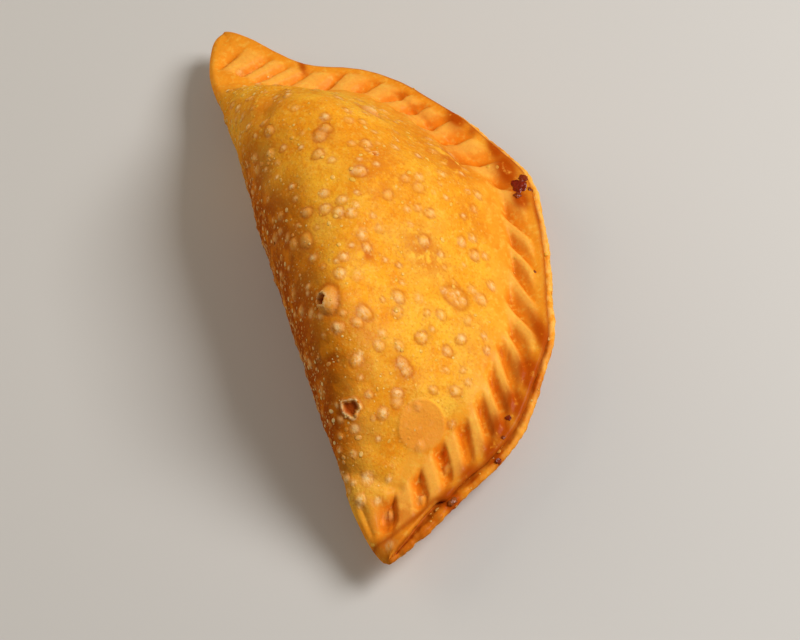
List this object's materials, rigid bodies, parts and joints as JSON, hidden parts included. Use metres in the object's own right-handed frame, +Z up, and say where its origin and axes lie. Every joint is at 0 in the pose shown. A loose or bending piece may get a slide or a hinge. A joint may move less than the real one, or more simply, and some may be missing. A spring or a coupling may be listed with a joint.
{
  "type": "empanada",
  "caption": "Fried half-moon turnover: one round of dough folded over its filling and crimped shut along the curved rim, puffed up and blistered.",
  "frame": {"origin": "centre of the object's box at the bottom, on the plane that the flat spot of the belly rests on", "axes": "+X from the sharper tip to the blunt, flat tip; +Y towards the folded side, away from the crimped rim; +Z up"},
  "size_m": [0.145, 0.0608, 0.0372],
  "materials": {
    "fried_crust": "golden fried dough with a thin gloss of oil"
  },
  "bodies": {
    "root": {"empanada": "fried_crust"}
  },
  "joints": []
}
